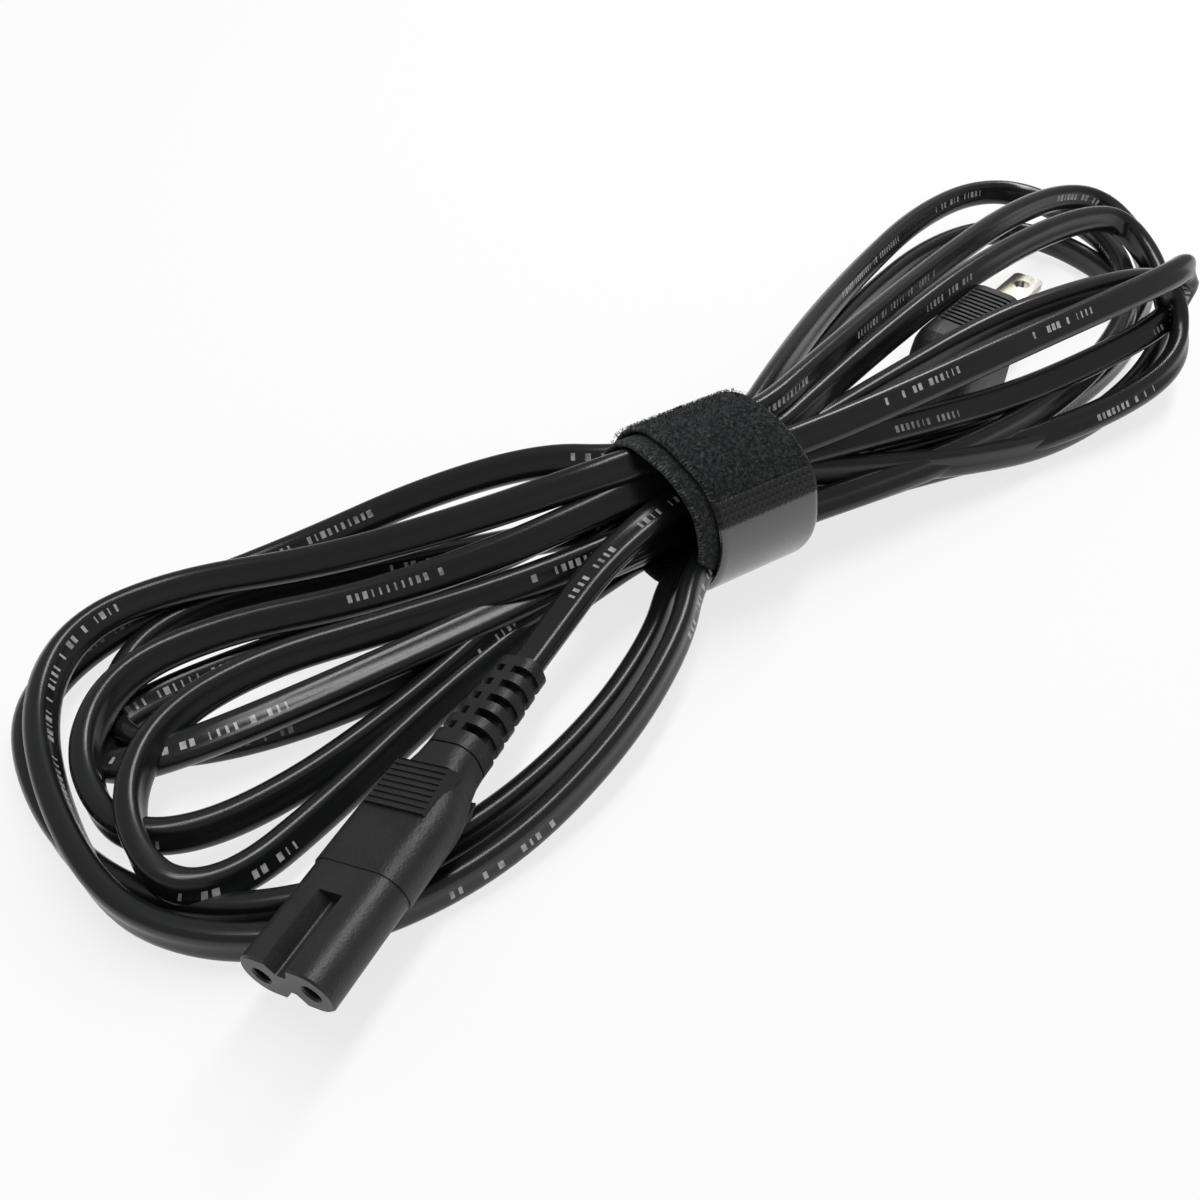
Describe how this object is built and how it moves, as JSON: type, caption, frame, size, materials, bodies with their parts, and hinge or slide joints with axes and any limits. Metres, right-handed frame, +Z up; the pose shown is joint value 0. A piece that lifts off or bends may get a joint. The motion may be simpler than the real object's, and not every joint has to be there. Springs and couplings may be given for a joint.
{
  "type": "figure eight power connector",
  "caption": "Two-pole figure eight power connector with a ribbed grip and a windowed strain relief, on a flat mains cord tied in a hank with a flat-blade plug.",
  "frame": {"origin": "centre of the connector's mating face, midway between its two pin holes", "axes": "+X along the connector from its mating face to its cord, +Z up from the floor that the cord set lies on"},
  "size_m": [0.2492, 0.1592, 0.0313],
  "materials": {
    "nose_plastic": "fine satin moulding",
    "moulded_pvc": "spark-textured matte",
    "contact_brass": "drawn",
    "copper": "bare stranded copper",
    "core_insulation": "smooth",
    "cord_jacket": "satin extruded",
    "tie_pile": "fuzzy loop pile",
    "tie_backing": "smooth woven backing",
    "blade_metal": "nickel plated"
  },
  "bodies": {
    "root": {"contact_carrier": "nose_plastic", "connector_overmould": "moulded_pvc", "contact_left": "contact_brass", "contact_right": "contact_brass", "conductor_left": "copper", "conductor_right": "copper", "insulation_left": "core_insulation", "insulation_right": "core_insulation", "cord_lead": "cord_jacket", "cord_hank": "cord_jacket", "plug_lead": "cord_jacket", "tie_loop_tape": "tie_pile", "tie_hook_tape": "tie_backing", "plug_overmould": "moulded_pvc", "plug_bridge": "nose_plastic", "plug_blade_upper": "blade_metal", "plug_blade_lower": "blade_metal", "plug_conductor_upper": "copper", "plug_conductor_lower": "copper", "plug_insulation_upper": "core_insulation", "plug_insulation_lower": "core_insulation"}
  },
  "joints": []
}
